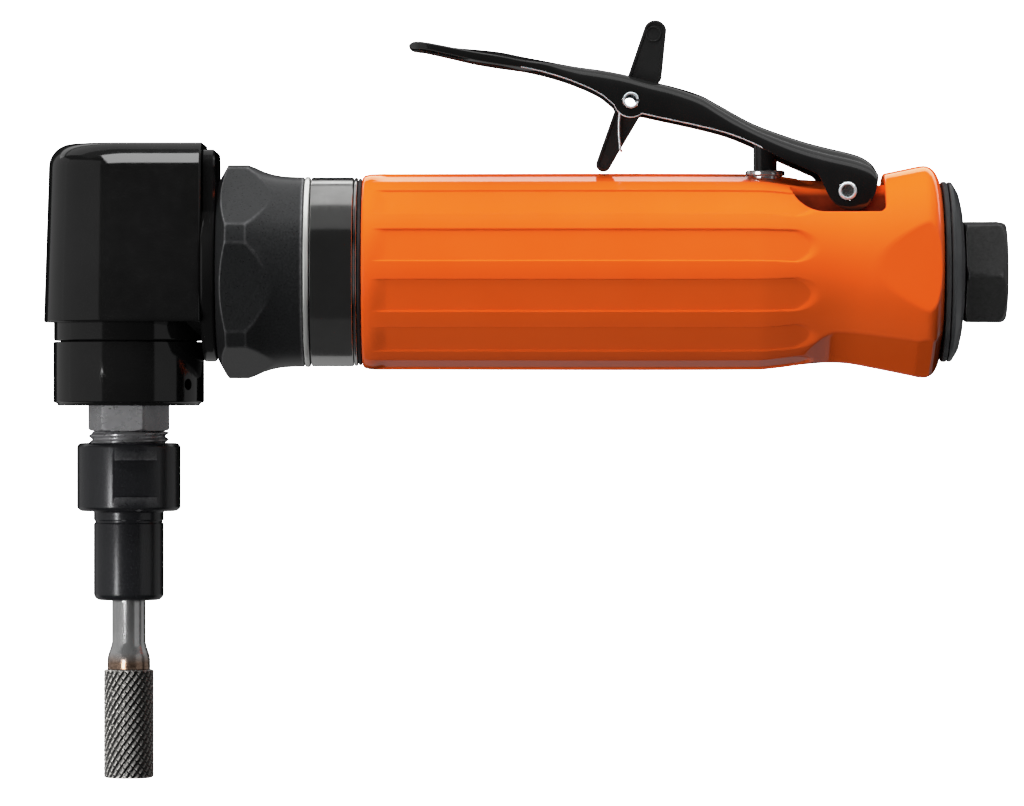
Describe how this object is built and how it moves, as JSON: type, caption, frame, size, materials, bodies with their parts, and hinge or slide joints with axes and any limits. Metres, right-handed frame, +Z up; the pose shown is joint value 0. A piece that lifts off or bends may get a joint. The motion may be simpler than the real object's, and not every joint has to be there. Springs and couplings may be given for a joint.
{
  "type": "right-angle pneumatic die grinder",
  "caption": "Right-angle air die grinder: ribbed grip with a throttle lever and lock-off, hex coupling nut, angle head, and a cylindrical burr held in a collet.",
  "frame": {"origin": "on the motor axis, in the middle of the grip, where a hand holds the tool", "axes": "+X along the motor axis towards the air inlet, +Z up towards the throttle lever, so the spindle points along -Z from the angle head at -X"},
  "size_m": [0.1826, 0.0392, 0.1438],
  "materials": {
    "orange_housing": "high-gloss orange, moulded over shallow ribs",
    "black_oxide_steel": "satin black oxide",
    "gloss_black_enamel": "gloss black enamel",
    "black_polymer": "satin black moulded",
    "polished_steel": "polished, with fine turning marks",
    "bright_steel": "bright machined",
    "bearing_steel": "ground",
    "gear_steel": "hardened, oiled",
    "motor_iron": "ground, oiled",
    "carbide": "ground carbide with a double cut",
    "black_rubber": "matt black",
    "brass": "machined",
    "grey_felt": "pressed felt",
    "brown_phenolic": "ground cloth laminate"
  },
  "bodies": {
    "housing": {"handle_housing": "orange_housing", "lever_pivot_pin": "bright_steel", "throttle_bushing": "bright_steel", "valve_gasket": "black_rubber", "valve_seat": "brass", "valve_spring": "bright_steel", "inlet_bushing": "black_oxide_steel", "inlet_strainer": "brass", "exhaust_gasket": "black_rubber", "exhaust_cover": "gloss_black_enamel", "muffler_felt": "grey_felt", "front_end_plate": "motor_iron", "rear_end_plate": "motor_iron", "front_rotor_bearing_outer": "bearing_steel", "rear_rotor_bearing_outer": "bearing_steel", "motor_cylinder": "motor_iron", "cylinder_dowel": "bright_steel", "front_pinion_bearing_outer": "bearing_steel", "rear_pinion_bearing_outer": "bearing_steel", "pinion_retaining_ring": "bright_steel", "clamp_sleeve": "polished_steel", "thrust_washer": "polished_steel", "sleeve_edge_ring": "polished_steel", "sleeve_seal_ring": "black_rubber", "coupling_nut": "black_oxide_steel", "angle_head": "gloss_black_enamel", "spindle_cap": "gloss_black_enamel", "lower_spindle_bearing_outer": "bearing_steel", "upper_spindle_bearing_outer": "bearing_steel", "spindle_seal": "black_rubber"},
    "lever": {"throttle_lever": "black_oxide_steel", "lock_pin": "bright_steel"},
    "lock": {"lock_lever": "black_polymer", "lock_spring": "bright_steel"},
    "throttle": {"throttle_stem": "black_polymer", "valve_poppet": "black_rubber"},
    "rotor_group": {"rotor": "gear_steel", "rotor_vane_1": "brown_phenolic", "rotor_vane_2": "brown_phenolic", "rotor_vane_3": "brown_phenolic", "rotor_vane_4": "brown_phenolic", "rotor_vane_5": "brown_phenolic", "drive_coupling": "gear_steel", "bevel_pinion": "gear_steel", "front_rotor_bearing_inner": "bearing_steel", "rear_rotor_bearing_inner": "bearing_steel", "front_pinion_bearing_inner": "bearing_steel", "rear_pinion_bearing_inner": "bearing_steel", "pinion_bearing_spacer": "bearing_steel"},
    "spindle_group": {"spindle": "bright_steel", "bevel_gear": "gear_steel", "lower_spindle_bearing_inner": "bearing_steel", "upper_spindle_bearing_inner": "bearing_steel", "collet": "gear_steel", "collet_cap": "black_oxide_steel", "burr": "carbide"}
  },
  "joints": [
    {"name": "lever_pivot", "type": "hinge", "parent": "housing", "child": "lever", "pos_m": [0.0361, 0, 0.0151], "axis": [0, -1, 0], "range_deg": [0, 12], "stiffness_Nm_per_rad": 0.8, "springref_deg": -28.65},
    {"name": "lock_pivot", "type": "hinge", "parent": "lever", "child": "lock", "pos_m": [-0.00475, 0, 0.0323], "axis": [0, -1, 0], "range_deg": [-77, 0], "stiffness_Nm_per_rad": 0.004, "springref_deg": 34.38, "deforming": ["lock_spring"]},
    {"name": "throttle_slide", "type": "slide", "parent": "housing", "child": "throttle", "axis": [0, 0, -1], "range_m": [0, 0.0035], "deforming": ["valve_spring"]},
    {"name": "rotor_spin", "type": "hinge", "parent": "housing", "child": "rotor_group", "pos_m": [0, 0, 0], "axis": [1, 0, 0], "continuous": true},
    {"name": "spindle_spin", "type": "hinge", "parent": "housing", "child": "spindle_group", "pos_m": [-0.1, 0, 0], "axis": [0, 0, 1], "continuous": true}
  ],
  "couplings": [
    {"joint": "lock_pivot", "follows": "lever_pivot", "ratio": -6.4},
    {"joint": "throttle_slide", "follows": "lever_pivot", "m_per_rad": 0.0163},
    {"joint": "spindle_spin", "follows": "rotor_spin", "ratio": -0.77778}
  ]
}
